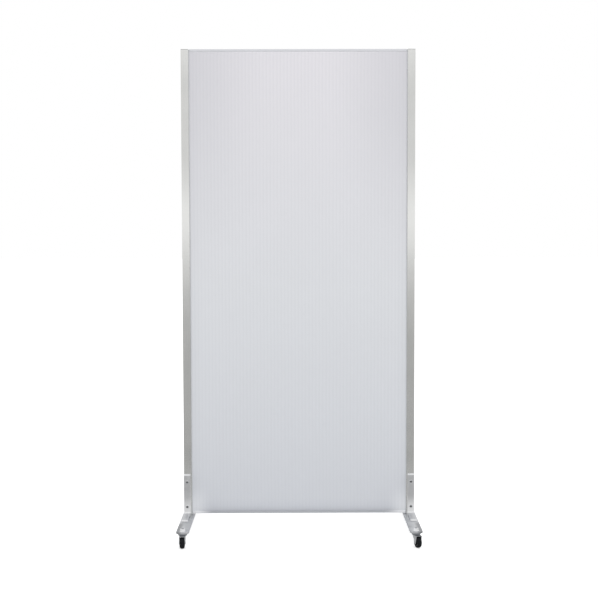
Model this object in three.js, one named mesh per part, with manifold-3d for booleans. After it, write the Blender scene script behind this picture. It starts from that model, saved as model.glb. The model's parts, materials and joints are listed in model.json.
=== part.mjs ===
// A rolling partition: one tall fluted sheet held between two extruded posts, each post bolted
// through a pair of angle brackets to a flat-bar foot on two swivel casters.
// Millimetres, +Z up. The sheet lies in the XZ plane, the front faces -Y, the floor is z = 0.

import * as THREE from "three";
import { mergeVertices } from "three/addons/utils/BufferGeometryUtils.js";
import Module from "manifold-3d";

const wasm = await Module();
wasm.setup();

// ---------- Driving dimensions ----------

const GAP = 0.3; // between any two neighbouring solids
const HOLE_CLEARANCE = 0.3; // radial, round a shank in its hole
const OVERCUT = 1; // how far a cutting tool runs past the face it cuts
const WELD = 1e-4; // corners nearer than this are one

// The screen: posts and sheet
const SCREEN_W = 1050; // over the outer faces of the posts
const SCREEN_H = 2104; // from the feet to the top
const CHAMBER_W = 22.5; // the post's hollow, from the outer face through its inner web
const LIP_REACH = 11.5; // how far the slot's lips reach past the web
const CHAMBER_WALL = 2.2;
const LIP_WALL = 2.5;

const SHEET_T = 16;
const SHEET_SKIN = 1.2;
const SHEET_RIB = 0.9;
const FLUTES = 64;
const SHEET_END_PLAY = 1; // between the sheet's edge and the bottom of its slot
const SHEET_LIFT = 4; // from the posts' lower ends to the profile under the sheet

const GASKET_CHANNEL = 2; // between the sheet's face and a slot lip
const GASKET_BEAD_W = 3.6; // the part that shows beside the post
const GASKET_BEAD_PROUD = 2.6; // off the sheet's face

const EDGE_WEB = 2; // closing profile along the top and bottom of the sheet
const EDGE_WALL = 1.5;
const EDGE_LEG = 9;
const EDGE_END_PLAY = 0.8;

const CAP_T = 2;
const CAP_PLUG = 12;

// The feet and their angle brackets
const FOOT_W = 55;
const FOOT_T = 8;
const FOOT_L = 650;
const FOOT_CORNER = 14;
const FOOT_OVERHANG = 6; // past the post's outer face

const BRACKET_W = 30;
const BRACKET_T = 8;
const BRACKET_RISE = 186; // up the post, from the foot's top
const BRACKET_REACH = 138; // along the foot, from the post's face
const BRACKET_CHAMFER = 6; // on the two free ends
const BRACKET_HEEL = 3; // outside the bend
const BRACKET_CROOK = 5; // inside the bend

const BOLT_R = 4; // M8
const BOLT_HEAD_R = 7.2;
const BOLT_HEAD_H = 4.4;
const BOLT_SOCKET_AF = 5;
const BOLT_SOCKET_DEPTH = 2.6;
const BOLT_HEIGHTS = [37, 151]; // above the foot's top
const BOLT_END = 2; // thread past the nut
const NUT_AF = 13;
const NUT_H = 6.5;

const SCREW_HEAD_R = 8;
const SCREW_HEAD_H = 4;
const SCREW_BITE = 6; // into the bracket, which it doesn't pass through
const SCREW_SHARE = 0.55; // place along the bracket's reach

// The casters
const CASTER_H = 62; // from the floor to the foot
const CASTER_INSET = 20; // swivel axis to the foot's end
const CASTER_TRAIL = 20; // swivel axis to wheel axle
const CASTER_TURN = THREE.MathUtils.degToRad(16); // how far the outer pair has swung

const WHEEL_R = 25;
const WHEEL_W = 20;
const TYRE_BORE_R = 17.3;
const TYRE_TREAD_W = 10;
const TYRE_SHOULDER = 1.5;
const CORE_RIM_T = 3;
const CORE_RIM_W = 17;
const CORE_WEB_T = 5;
const HUB_R = 7.5;
const HUB_PLAY = 0.5; // hub to fork leg

const AXLE_R = 4;
const AXLE_HEAD_R = 6;
const AXLE_HEAD_H = 1.4;

const FORK_T = 2;
const FORK_GAP_W = 22;
const FORK_EYE_R = 8;
const CROWN_R = 18.5;
const CROWN_CLEARANCE = 2.5; // over the wheel
const FORK_NOSE = 13; // crown past the axle
const FORK_BACK = 9; // crown behind the swivel axis, at the legs
const FORK_CHEEK = 4; // depth of the legs where they leave the crown

const RACE_R = 20;
const RACE_T = 3;
const RACE_SKIRT_T = 1.8;
const RACE_SKIRT_GAP = 2; // skirt to crown
const BALL_TRACK_R = 12;
const KINGPIN_R = 5.5;
const KINGPIN_HEAD_R = 8;
const KINGPIN_HEAD_H = 2;

const STEM_R = 6; // M12
const STEM_END = 2.5; // thread past the nut
const STEM_CHAMFER = 1.2;
const STEM_NUT_AF = 19;
const STEM_NUT_H = 10;
const STEM_NUT_FLANGE_R = 13;
const STEM_NUT_FLANGE_H = 2.4;

// How round things are
const WHEEL_SIDES = 28;
const TURNED_SIDES = 16;
const SMALL_SIDES = 12;
const BALL_TRACK_SIDES = 6;
const ARC_STEPS = 3;

// ---------- Worked out from them ----------

const FOOT_TOP = CASTER_H + FOOT_T;
const SCREEN_BASE = FOOT_TOP + GAP;
const SHEET_BASE = SCREEN_BASE + SHEET_LIFT;
const SCREEN_TOP = FOOT_TOP + SCREEN_H;
const POST_TOP = SCREEN_TOP - CAP_T - GAP;

const OUTER_X = SCREEN_W / 2;
const POST_W = CHAMBER_W + LIP_REACH;
const SLOT_D = SHEET_T + 2 * GASKET_CHANNEL;
const POST_D = SLOT_D + 2 * LIP_WALL;
const CLEAR_W = SCREEN_W - 2 * POST_W;
const SHEET_W = SCREEN_W - 2 * (CHAMBER_W + SHEET_END_PLAY);
const EDGE_W = CLEAR_W - 2 * (GASKET_BEAD_W + GAP + EDGE_END_PLAY);

const BRACKET_BACK = POST_D / 2 + GAP; // the plane of the upright leg against the post
const BRACKET_FACE = BRACKET_BACK + BRACKET_T;
const BRACKET_BASE = FOOT_TOP + GAP;
const BRACKET_X = OUTER_X - BRACKET_W / 2;
const SCREW_Y = BRACKET_BACK + BRACKET_REACH * SCREW_SHARE;

const FOOT_X = OUTER_X + FOOT_OVERHANG - FOOT_W / 2;
const CASTER_Y = FOOT_L / 2 - CASTER_INSET;

const HUB_W = FORK_GAP_W - 2 * HUB_PLAY;
const FORK_W = FORK_GAP_W + 2 * FORK_T;
const CROWN_UNDER = 2 * WHEEL_R + CROWN_CLEARANCE;
const CROWN_TOP = CROWN_UNDER + FORK_T;
const RACE_TOP = CASTER_H - GAP;
const RACE_UNDER = RACE_TOP - RACE_T;
const BALL_R = (RACE_UNDER - CROWN_TOP) / 2 - GAP;
const STEM_NUT_BASE = FOOT_TOP + GAP;
const STEM_NUT_TOP = STEM_NUT_BASE + STEM_NUT_H;

// ---------- Materials ----------

function finish(name, color, roughness, metalness) {
  return () => new THREE.MeshStandardMaterial({ name, color, roughness, metalness, flatShading: true });
}

const OPAL = finish("opal_sheet", 0xd9dade, 0.35, 0);
const ANODISED = finish("anodised_aluminium", 0xc3c4c0, 0.35, 0.9);
const SATIN = finish("satin_aluminium", 0xc0c1c4, 0.4, 0.9);
const ZINC = finish("zinc_plate", 0xb9bcc0, 0.3, 0.95);
const GREY_RUBBER = finish("grey_gasket", 0xa9abae, 0.7, 0);
const CLEAR_EDGE = finish("edge_profile", 0xcfd0d4, 0.4, 0);
const GREY_CAP = finish("grey_cap", 0xa5a6a8, 0.55, 0);
const BLACK_CORE = finish("black_core", 0x1c1d20, 0.5, 0);
const BLACK_TYRE = finish("black_tyre", 0x141517, 0.7, 0);

// ---------- Shapes: from here on, a function takes and gives plain geometries ----------

// A closed geometry as a solid that faces outwards.
function solid(geometry) {
  const bare = geometry.index ? geometry.toNonIndexed() : geometry.clone();
  bare.deleteAttribute("normal");
  bare.deleteAttribute("uv");
  const merged = mergeVertices(bare, WELD);
  const corners = merged.index.array;
  const triangles = [];
  for (let i = 0; i < corners.length; i += 3) {
    const [a, b, c] = corners.slice(i, i + 3);
    if (a !== b && b !== c && c !== a) triangles.push(a, b, c);
  }
  const vertProperties = merged.attributes.position.array;
  const close = () => new wasm.Manifold(
    new wasm.Mesh({ numProp: 3, vertProperties, triVerts: new Uint32Array(triangles) }),
  );
  const made = close();
  if (made.volume() > 0) return made;
  triangles.reverse();
  return close();
}

function geometryOf(body) {
  const made = body.getMesh();
  const geometry = new THREE.BufferGeometry();
  geometry.setAttribute("position", new THREE.BufferAttribute(made.vertProperties, 3));
  geometry.setIndex(new THREE.BufferAttribute(made.triVerts, 1));
  geometry.computeVertexNormals();
  return geometry;
}

function cut(base, ...tools) {
  return geometryOf(tools.reduce((left, tool) => left.subtract(solid(tool)), solid(base)));
}

function join(...pieces) {
  return geometryOf(pieces.map(solid).reduce((sum, piece) => sum.add(piece)));
}

// A box between two corners.
function block([x0, y0, z0], [x1, y1, z1]) {
  const box = new THREE.BoxGeometry(x1 - x0, y1 - y0, z1 - z0);
  return box.translate((x0 + x1) / 2, (y0 + y1) / 2, (z0 + z1) / 2);
}

function outline(points) {
  return new THREE.Shape(points.map(([u, v]) => new THREE.Vector2(u, v)));
}

function hexagon(acrossFlats) {
  const r = acrossFlats / Math.sqrt(3);
  return Array.from({ length: 6 }, (_, i) => {
    const a = (i * Math.PI) / 3;
    return [r * Math.cos(a), r * Math.sin(a)];
  });
}

// A plan in X and Y, raised from z0 to z1.
function raised(plan, z0, z1) {
  const options = { depth: z1 - z0, bevelEnabled: false, curveSegments: ARC_STEPS };
  return new THREE.ExtrudeGeometry(plan, options).translate(0, 0, z0);
}

// A side view in Y and Z, spread from x0 to x1.
function spread(view, x0, x1) {
  const options = { depth: x1 - x0, bevelEnabled: false, curveSegments: ARC_STEPS };
  const made = new THREE.ExtrudeGeometry(view, options);
  return made.rotateX(Math.PI / 2).rotateZ(Math.PI / 2).translate(x0, 0, 0);
}

// A profile of [radius, height] points turned about Z. Its facets are set so that one is flat on
// each axis.
function turned(profile, sides) {
  const points = profile.map(([r, h]) => new THREE.Vector2(r, h));
  return new THREE.LatheGeometry(points, sides, Math.PI / sides).rotateX(Math.PI / 2);
}

const turnedAlongX = (profile, sides) => turned(profile, sides).rotateY(Math.PI / 2);
const turnedAlongY = (profile, sides) => turned(profile, sides).rotateX(-Math.PI / 2);

const ring = (points) => [...points, points[0]];
const rod = (r, h0, h1) => [[0, h0], [r, h0], [r, h1], [0, h1]];

// A named piece, with its faces turned outwards.
function mesh(name, geometry, material) {
  const piece = new THREE.Mesh(geometryOf(solid(geometry)), material());
  piece.name = name;
  return piece;
}

// ---------- The screen ----------

// Two skins joined by ribs, with every flute open at the top and the bottom.
function sheet() {
  const half = SHEET_W / 2;
  const pitch = SHEET_W / FLUTES;
  const inner = SHEET_T / 2 - SHEET_SKIN;
  const bottom = SHEET_BASE + EDGE_WEB + GAP;
  const top = SCREEN_TOP - EDGE_WEB - GAP;
  const flutes = Array.from({ length: FLUTES }, (_, i) => {
    const left = -half + i * pitch + SHEET_RIB / 2;
    const right = left + pitch - SHEET_RIB;
    return block([left, -inner, bottom - OVERCUT], [right, inner, top + OVERCUT]);
  });
  return cut(block([-half, -SHEET_T / 2, bottom], [half, SHEET_T / 2, top]), ...flutes);
}

// A channel that closes the flutes along one edge: up is 1 for the top edge, -1 for the bottom.
function edgeProfile(up) {
  const inner = SHEET_T / 2 + GAP;
  const outer = inner + EDGE_WALL;
  const end = up > 0 ? SCREEN_TOP : SHEET_BASE;
  const web = end - up * EDGE_WEB;
  const lip = web - up * EDGE_LEG;
  const side = outline([
    [-outer, end], [-outer, lip], [-inner, lip], [-inner, web],
    [inner, web], [inner, lip], [outer, lip], [outer, end],
  ]);
  return spread(side, -EDGE_W / 2, EDGE_W / 2);
}

// Holes along Y for the two bolts at one side, side being -1 on the left and 1 on the right.
function boltHoles(side, reach) {
  return BOLT_HEIGHTS.map((height) => {
    const bore = turnedAlongY(rod(BOLT_R + HOLE_CLEARANCE, -reach, reach), SMALL_SIDES);
    return bore.translate(side * BRACKET_X, 0, FOOT_TOP + height);
  });
}

// A box whose X runs outwards from the middle of the screen, the same way on either side.
function sideBlock(side, [x0, y0, z0], [x1, y1, z1]) {
  return block([Math.min(side * x0, side * x1), y0, z0], [Math.max(side * x0, side * x1), y1, z1]);
}

// A hollow chamber on the outside, and a slot with two lips that takes the sheet.
function post(side) {
  const face = POST_D / 2;
  const web = OUTER_X - CHAMBER_W;
  const lipEnd = OUTER_X - POST_W;
  const under = SCREEN_BASE - OVERCUT;
  const over = POST_TOP + OVERCUT;
  const bar = sideBlock(side, [lipEnd, -face, SCREEN_BASE], [OUTER_X, face, POST_TOP]);
  const slot = sideBlock(side, [lipEnd - OVERCUT, -SLOT_D / 2, under], [web, SLOT_D / 2, over]);
  const chamber = sideBlock(
    side,
    [web + CHAMBER_WALL, CHAMBER_WALL - face, under],
    [OUTER_X - CHAMBER_WALL, face - CHAMBER_WALL, over],
  );
  return cut(bar, slot, chamber, ...boltHoles(side, face + OVERCUT));
}

// A plate over the post's end, with a plug down its chamber.
function postCap(side) {
  const inset = CHAMBER_WALL + GAP;
  const face = POST_D / 2;
  const underside = SCREEN_TOP - CAP_T;
  const plate = sideBlock(side, [OUTER_X - POST_W, -face, underside], [OUTER_X, face, SCREEN_TOP]);
  const plug = sideBlock(
    side,
    [OUTER_X - CHAMBER_W + inset, inset - face, underside - CAP_PLUG],
    [OUTER_X - inset, face - inset, SCREEN_TOP],
  );
  return join(plate, plug);
}

// A strip between sheet and lip, with a bead that shows past the lip. face is -1 at the front.
function gasket(side, face) {
  const lipEnd = OUTER_X - POST_W - GAP;
  const seat = SHEET_T / 2 + GAP;
  const strip = SLOT_D / 2 - GAP;
  const proud = SHEET_T / 2 + GASKET_BEAD_PROUD;
  const deep = OUTER_X - CHAMBER_W - SHEET_END_PLAY;
  const beadEnd = lipEnd - GASKET_BEAD_W;
  const plan = [
    [deep, seat], [deep, strip], [lipEnd, strip], [lipEnd, proud],
    [beadEnd + GASKET_BEAD_W / 3, proud], [beadEnd, seat],
  ];
  return raised(outline(plan.map(([x, y]) => [side * x, face * y])), SHEET_BASE, POST_TOP);
}

// ---------- Feet and brackets ----------

function roundedPlan(x0, y0, x1, y1, r) {
  const plan = new THREE.Shape();
  plan.moveTo(x0 + r, y0);
  plan.lineTo(x1 - r, y0);
  plan.absarc(x1 - r, y0 + r, r, -Math.PI / 2, 0);
  plan.lineTo(x1, y1 - r);
  plan.absarc(x1 - r, y1 - r, r, 0, Math.PI / 2);
  plan.lineTo(x0 + r, y1);
  plan.absarc(x0 + r, y1 - r, r, Math.PI / 2, Math.PI);
  plan.lineTo(x0, y0 + r);
  plan.absarc(x0 + r, y0 + r, r, Math.PI, 1.5 * Math.PI);
  return plan;
}

// A countersunk screw's outline, grown all round by clearance to make the hole that takes it.
function screwProfile(clearance) {
  const head = SCREW_HEAD_R + clearance;
  const shank = BOLT_R + clearance;
  const under = CASTER_H + (clearance ? -OVERCUT : GAP);
  const top = FOOT_TOP + GAP + SCREW_BITE + clearance;
  return [
    [0, under], [head, under], [head, CASTER_H + GAP], [shank, CASTER_H + GAP + SCREW_HEAD_H],
    [shank, top], [0, top],
  ];
}

function screw(side, face) {
  return turned(screwProfile(0), SMALL_SIDES).translate(side * BRACKET_X, face * SCREW_Y, 0);
}

function screwHole(side, face) {
  const hole = turned(screwProfile(HOLE_CLEARANCE), SMALL_SIDES);
  return hole.translate(side * BRACKET_X, face * SCREW_Y, 0);
}

function foot(side) {
  const x = side * FOOT_X;
  const plan = roundedPlan(x - FOOT_W / 2, -FOOT_L / 2, x + FOOT_W / 2, FOOT_L / 2, FOOT_CORNER);
  const stemHoles = [-CASTER_Y, CASTER_Y].map((y) => {
    const bore = rod(STEM_R + HOLE_CLEARANCE, CASTER_H - OVERCUT, FOOT_TOP + OVERCUT);
    return turned(bore, TURNED_SIDES).translate(x, y, 0);
  });
  const bar = raised(plan, CASTER_H, FOOT_TOP);
  return cut(bar, ...stemHoles, screwHole(side, -1), screwHole(side, 1));
}

// One bar bent to an L: up the post and out along the foot.
function bracket(side, face) {
  const heel = BRACKET_HEEL;
  const crook = BRACKET_CROOK;
  const top = BRACKET_BASE + BRACKET_RISE;
  const toe = BRACKET_BACK + BRACKET_REACH;
  const legTop = BRACKET_BASE + BRACKET_T;
  const view = new THREE.Shape();
  view.moveTo(BRACKET_BACK + heel, BRACKET_BASE);
  view.lineTo(toe, BRACKET_BASE);
  view.lineTo(toe, legTop - BRACKET_CHAMFER);
  view.lineTo(toe - BRACKET_CHAMFER, legTop);
  view.lineTo(BRACKET_FACE + crook, legTop);
  view.absarc(BRACKET_FACE + crook, legTop + crook, crook, 1.5 * Math.PI, Math.PI, true);
  view.lineTo(BRACKET_FACE, top - BRACKET_CHAMFER);
  view.lineTo(BRACKET_FACE - BRACKET_CHAMFER, top);
  view.lineTo(BRACKET_BACK, top);
  view.lineTo(BRACKET_BACK, BRACKET_BASE + heel);
  view.absarc(BRACKET_BACK + heel, BRACKET_BASE + heel, heel, Math.PI, 1.5 * Math.PI);
  const bar = spread(view, -BRACKET_W / 2, BRACKET_W / 2).rotateZ(face > 0 ? 0 : Math.PI);
  bar.translate(side * BRACKET_X, 0, 0);
  return cut(bar, ...boltHoles(side, BRACKET_FACE + OVERCUT), screwHole(side, face));
}

// A domed head with a hex socket at the front, and a shank through post and brackets.
function throughBolt(side, height) {
  const seat = BRACKET_FACE + GAP;
  const end = seat + NUT_H + BOLT_END;
  const brow = seat + BOLT_HEAD_H;
  const dome = Array.from({ length: ARC_STEPS }, (_, i) => {
    const a = (i * Math.PI) / 2 / ARC_STEPS;
    return [BOLT_HEAD_R * Math.cos(a), -seat - BOLT_HEAD_H * Math.sin(a)];
  });
  const body = turnedAlongY(
    [[0, end], [BOLT_R, end], [BOLT_R, -seat], ...dome, [0, -brow]],
    TURNED_SIDES,
  );
  const socket = raised(outline(hexagon(BOLT_SOCKET_AF)), -BOLT_SOCKET_DEPTH, OVERCUT);
  socket.rotateX(Math.PI / 2).translate(0, -brow, 0);
  return cut(body, socket).translate(side * BRACKET_X, 0, FOOT_TOP + height);
}

function throughNut(side, height) {
  const seat = BRACKET_FACE + GAP;
  const hex = raised(outline(hexagon(NUT_AF)), -seat - NUT_H, -seat);
  const bore = turned(rod(BOLT_R + HOLE_CLEARANCE, -seat - NUT_H - OVERCUT, OVERCUT - seat), SMALL_SIDES);
  return cut(hex, bore).rotateX(Math.PI / 2).translate(side * BRACKET_X, 0, FOOT_TOP + height);
}

// ---------- A caster, about its swivel axis, with the wheel trailing towards -Y ----------

// Threaded stem, upper race and riveted kingpin, all fixed to the foot.
function casterStem() {
  const rivet = CROWN_UNDER - GAP;
  const skirt = CROWN_TOP + RACE_SKIRT_GAP;
  const top = STEM_NUT_TOP + STEM_END;
  return turned([
    [0, rivet - KINGPIN_HEAD_H], [KINGPIN_HEAD_R, rivet - KINGPIN_HEAD_H],
    [KINGPIN_HEAD_R, rivet], [KINGPIN_R, rivet], [KINGPIN_R, RACE_UNDER],
    [RACE_R - RACE_SKIRT_T, RACE_UNDER], [RACE_R - RACE_SKIRT_T, skirt], [RACE_R, skirt],
    [RACE_R, RACE_TOP], [STEM_R, RACE_TOP], [STEM_R, top - STEM_CHAMFER],
    [STEM_R - STEM_CHAMFER, top], [0, top],
  ], TURNED_SIDES);
}

function stemNut() {
  const flangeTop = STEM_NUT_BASE + STEM_NUT_FLANGE_H;
  const flange = turned(rod(STEM_NUT_FLANGE_R, STEM_NUT_BASE, flangeTop), TURNED_SIDES);
  const hex = raised(outline(hexagon(STEM_NUT_AF)), STEM_NUT_BASE, STEM_NUT_TOP);
  const bore = rod(STEM_R + HOLE_CLEARANCE, STEM_NUT_BASE - OVERCUT, STEM_NUT_TOP + OVERCUT);
  return cut(join(flange, hex), turned(bore, TURNED_SIDES));
}

function ballRing() {
  const torus = new THREE.TorusGeometry(BALL_TRACK_R, BALL_R, BALL_TRACK_SIDES, TURNED_SIDES);
  return torus.translate(0, 0, (CROWN_TOP + RACE_UNDER) / 2);
}

// A pressed crown with a leg down each side of the wheel.
function fork() {
  const view = new THREE.Shape();
  view.moveTo(FORK_BACK, CROWN_TOP);
  view.lineTo(FORK_BACK, CROWN_UNDER);
  view.lineTo(FORK_EYE_R - CASTER_TRAIL, WHEEL_R);
  view.absarc(-CASTER_TRAIL, WHEEL_R, FORK_EYE_R, 0, -Math.PI, true);
  view.lineTo(-CASTER_TRAIL - FORK_NOSE, CROWN_UNDER - FORK_CHEEK);
  view.lineTo(-CASTER_TRAIL - FORK_NOSE, CROWN_TOP);
  const reach = CASTER_TRAIL + FORK_NOSE + CROWN_R;
  const slot = block([-FORK_GAP_W / 2, -reach, -OVERCUT], [FORK_GAP_W / 2, reach, CROWN_UNDER]);
  const legs = cut(spread(view, -FORK_W / 2, FORK_W / 2), slot);
  const crown = turned(rod(CROWN_R, CROWN_UNDER, CROWN_TOP), TURNED_SIDES);
  const pinHole = turned(
    rod(KINGPIN_R + HOLE_CLEARANCE, CROWN_UNDER - OVERCUT, CROWN_TOP + OVERCUT), TURNED_SIDES,
  );
  const axleHole = turnedAlongX(rod(AXLE_R + HOLE_CLEARANCE, -FORK_W, FORK_W), SMALL_SIDES);
  return cut(join(legs, crown), pinHole, axleHole.translate(0, -CASTER_TRAIL, WHEEL_R));
}

// A pin headed over at both ends outside the fork.
function axle() {
  const leg = FORK_W / 2 + GAP;
  const end = leg + AXLE_HEAD_H;
  return turnedAlongX([
    [0, -end], [AXLE_HEAD_R, -end], [AXLE_HEAD_R, -leg], [AXLE_R, -leg],
    [AXLE_R, leg], [AXLE_HEAD_R, leg], [AXLE_HEAD_R, end], [0, end],
  ], SMALL_SIDES);
}

function wheelCore() {
  const outer = TYRE_BORE_R - GAP;
  const rim = outer - CORE_RIM_T;
  const bore = AXLE_R + HOLE_CLEARANCE;
  const half = [
    [bore, HUB_W / 2], [HUB_R, HUB_W / 2], [HUB_R, CORE_WEB_T / 2], [rim, CORE_WEB_T / 2],
    [rim, CORE_RIM_W / 2], [outer, CORE_RIM_W / 2],
  ];
  const other = half.map(([r, w]) => [r, -w]).reverse();
  return turnedAlongX(ring([...half, ...other]), TURNED_SIDES);
}

// The tread's flats lie on the wheel's radius, so one of them stands on the floor.
function tyre() {
  const flat = WHEEL_R / Math.cos(Math.PI / WHEEL_SIDES);
  const middle = (TYRE_BORE_R + WHEEL_R) / 2;
  const half = [
    [TYRE_BORE_R, CORE_RIM_W / 2], [middle - TYRE_SHOULDER, WHEEL_W / 2],
    [middle + TYRE_SHOULDER, WHEEL_W / 2 - TYRE_SHOULDER / 2], [flat, TYRE_TREAD_W / 2],
  ];
  const other = half.map(([r, w]) => [r, -w]).reverse();
  return turnedAlongX(ring([...half, ...other]), WHEEL_SIDES);
}

function caster(place, x, y, turn) {
  const assembly = new THREE.Group();
  assembly.position.set(x, y, 0);
  assembly.add(
    mesh(`caster_stem_${place}`, casterStem(), ZINC),
    mesh(`stem_nut_${place}`, stemNut(), ZINC),
  );
  const swivel = new THREE.Group();
  swivel.rotation.z = turn;
  swivel.add(
    mesh(`ball_ring_${place}`, ballRing(), ZINC),
    mesh(`fork_${place}`, fork(), ZINC),
  );
  const wheel = new THREE.Group();
  wheel.position.set(0, -CASTER_TRAIL, WHEEL_R);
  wheel.add(
    mesh(`axle_${place}`, axle(), ZINC),
    mesh(`wheel_core_${place}`, wheelCore(), BLACK_CORE),
    mesh(`tyre_${place}`, tyre(), BLACK_TYRE),
  );
  swivel.add(wheel);
  assembly.add(swivel);
  return assembly;
}

// ---------- The whole ----------

const SIDES = [["left", -1], ["right", 1]];
const FACES = [["front", -1], ["rear", 1]];

// Seen from above: the front left wheel trails straight out, the front right one has swung
// outwards, and the rear pair is the front pair turned half round.
function casterTurn(side, face) {
  const half = face > 0 ? Math.PI : 0;
  return side * face < 0 ? half + CASTER_TURN : half;
}

const partition = new THREE.Group();
partition.add(
  mesh("sheet", sheet(), OPAL),
  mesh("edge_profile_top", edgeProfile(1), CLEAR_EDGE),
  mesh("edge_profile_bottom", edgeProfile(-1), CLEAR_EDGE),
);
for (const [sideName, side] of SIDES) {
  partition.add(
    mesh(`post_${sideName}`, post(side), ANODISED),
    mesh(`post_cap_${sideName}`, postCap(side), GREY_CAP),
    mesh(`foot_${sideName}`, foot(side), SATIN),
  );
  BOLT_HEIGHTS.forEach((height, i) => {
    partition.add(
      mesh(`through_bolt_${sideName}_${i + 1}`, throughBolt(side, height), ZINC),
      mesh(`through_nut_${sideName}_${i + 1}`, throughNut(side, height), ZINC),
    );
  });
  for (const [faceName, face] of FACES) {
    const place = `${faceName}_${sideName}`;
    partition.add(
      mesh(`gasket_${place}`, gasket(side, face), GREY_RUBBER),
      mesh(`bracket_${place}`, bracket(side, face), SATIN),
      mesh(`foot_screw_${place}`, screw(side, face), ZINC),
      caster(place, side * FOOT_X, face * CASTER_Y, casterTurn(side, face)),
    );
  }
}

export default partition;
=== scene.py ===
# %% [markdown]
# # A rolling partition, dressed for its photograph
#
# A tall fluted sheet stands between two aluminium posts. Each post is bolted by a pair of bent bars
# to a flat bar on two casters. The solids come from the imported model, in metres, with +Z up and the
# front facing -Y, and fix every size and place. This lesson adds rounded edges, true curves and
# finishes. Loading comes first, because every later cell asks the frame where a piece is.

# %% Load the frame
import json
import math

import bpy
import numpy as np
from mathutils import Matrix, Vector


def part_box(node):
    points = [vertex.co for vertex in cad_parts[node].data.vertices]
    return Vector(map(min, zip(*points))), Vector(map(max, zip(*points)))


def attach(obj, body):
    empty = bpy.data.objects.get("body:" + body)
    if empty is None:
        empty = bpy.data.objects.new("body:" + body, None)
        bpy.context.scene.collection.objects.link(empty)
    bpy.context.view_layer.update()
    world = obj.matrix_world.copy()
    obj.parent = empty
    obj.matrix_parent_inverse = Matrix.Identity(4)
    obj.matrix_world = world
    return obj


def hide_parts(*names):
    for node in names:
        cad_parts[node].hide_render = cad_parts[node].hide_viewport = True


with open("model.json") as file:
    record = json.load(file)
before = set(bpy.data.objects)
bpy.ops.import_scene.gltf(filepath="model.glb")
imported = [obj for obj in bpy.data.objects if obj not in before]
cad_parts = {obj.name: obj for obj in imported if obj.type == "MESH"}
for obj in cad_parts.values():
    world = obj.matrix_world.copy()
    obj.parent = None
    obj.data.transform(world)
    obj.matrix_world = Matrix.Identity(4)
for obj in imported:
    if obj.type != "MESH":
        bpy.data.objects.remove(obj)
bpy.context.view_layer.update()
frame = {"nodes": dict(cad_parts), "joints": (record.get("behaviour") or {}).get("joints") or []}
scene = bpy.context.scene

# %% [markdown]
# ## The camera
#
# The photograph was taken square on, from about five metres away and at chest height, with a
# slightly long lens. A camera can be set by eye or worked out from known points. Here its place,
# its three small angles and its focal length fit the corners of posts, feet and brackets.

# %% Place the camera
SENSOR = 36.0  # millimetres
IMAGE = 598.0  # pixels
FOCAL_PIXELS = 1122.877
CAMERA_AT = (-0.018157, -5.083874, 1.340881)  # metres
YAW, PITCH, ROLL = -0.00388, 0.05634, 0.00232  # radians


def camera_axes(yaw, pitch, roll):
    """Right, up and backward: the level frame turned by yaw, tipped down by pitch, then rolled."""
    right = np.array([math.cos(yaw), math.sin(yaw), 0.0])
    level = np.array([-math.sin(yaw), math.cos(yaw), 0.0])
    ahead = math.cos(pitch) * level - math.sin(pitch) * np.array([0.0, 0.0, 1.0])
    down = np.cross(ahead, right)
    rolled = math.cos(roll) * right + math.sin(roll) * down
    return rolled, np.cross(rolled, ahead), -ahead


def matrix(right, up, back, place):
    """Rows of a 4 by 4 matrix whose columns are three axes and a place."""
    return [[right[i], up[i], back[i], place[i]] for i in range(3)] + [[0, 0, 0, 1]]


lens = bpy.data.cameras.new("camera")
lens.sensor_width = SENSOR
lens.lens = FOCAL_PIXELS / IMAGE * SENSOR
camera = bpy.data.objects.new("camera", lens)
scene.collection.objects.link(camera)
camera.matrix_world = np.array(matrix(*camera_axes(YAW, PITCH, ROLL), CAMERA_AT)).T.tolist()
scene.camera = camera
print("lens", round(lens.lens, 2), "mm")

# %% [markdown]
# ## Surfaces by formula
#
# A shape here is a grid of points worked out by one formula for the whole array, which can close on
# itself round a bar or a wheel. Where a row shrinks to a point, as at the tip of a domed head, the
# doubled points are welded, so that no slit is left. A formula keeps every edge radius in one named
# value. All shapes are in millimetres until the mesh is made.

# %% Grids and shells
TO_METRES = 0.001
WELD_DIGITS = 4


def grid_quads(rows, cols, round_rows=False, round_cols=False):
    """Quads between neighbours of a rows by cols grid, wrapped where a direction is round."""
    i = np.arange(rows if round_rows else rows - 1)[:, None]
    j = np.arange(cols if round_cols else cols - 1)[None, :]
    i, j, i2, j2 = np.broadcast_arrays(i, j, (i + 1) % rows, (j + 1) % cols)
    return np.stack([i * cols + j, i * cols + j2, i2 * cols + j2, i2 * cols + j], -1).reshape(-1, 4)


def welded(points, quads):
    """Equal points become one, and a quad that has lost a side becomes a triangle."""
    _, kept, place = np.unique(
        np.round(points, WELD_DIGITS), axis=0, return_index=True, return_inverse=True,
    )
    quads = place.reshape(-1)[quads]
    lost = quads == np.roll(quads, -1, axis=1)
    triangles = quads[lost.sum(1) == 1][~lost[lost.sum(1) == 1]].reshape(-1, 3)
    return points[kept], quads[~lost.any(1)], triangles, place.reshape(-1)


def volume(points, faces):
    """A sixth of the summed triple products of each face's fan of triangles."""
    total = 0.0
    for face in faces:
        corners = points[np.asarray(face).reshape(-1, np.shape(face)[-1])]
        fan = np.cross(corners[:, 1:-1], corners[:, 2:])
        total += np.einsum("nc,nkc->", corners[:, 0], fan) / 6
    return total


def shell(points, rows, cols, round_rows=False, round_cols=True, caps=()):
    """A closed skin: the grid's quads and the capping faces, turned outwards if need be."""
    points, quads, triangles, place = welded(points, grid_quads(rows, cols, round_rows, round_cols))
    faces = [block for block in (quads, triangles) if len(block)]
    faces += [place[np.asarray(cap)][None, :] for cap in caps]
    if volume(points, faces) < 0:
        faces = [block[:, ::-1] for block in faces]
    return points, faces


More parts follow.
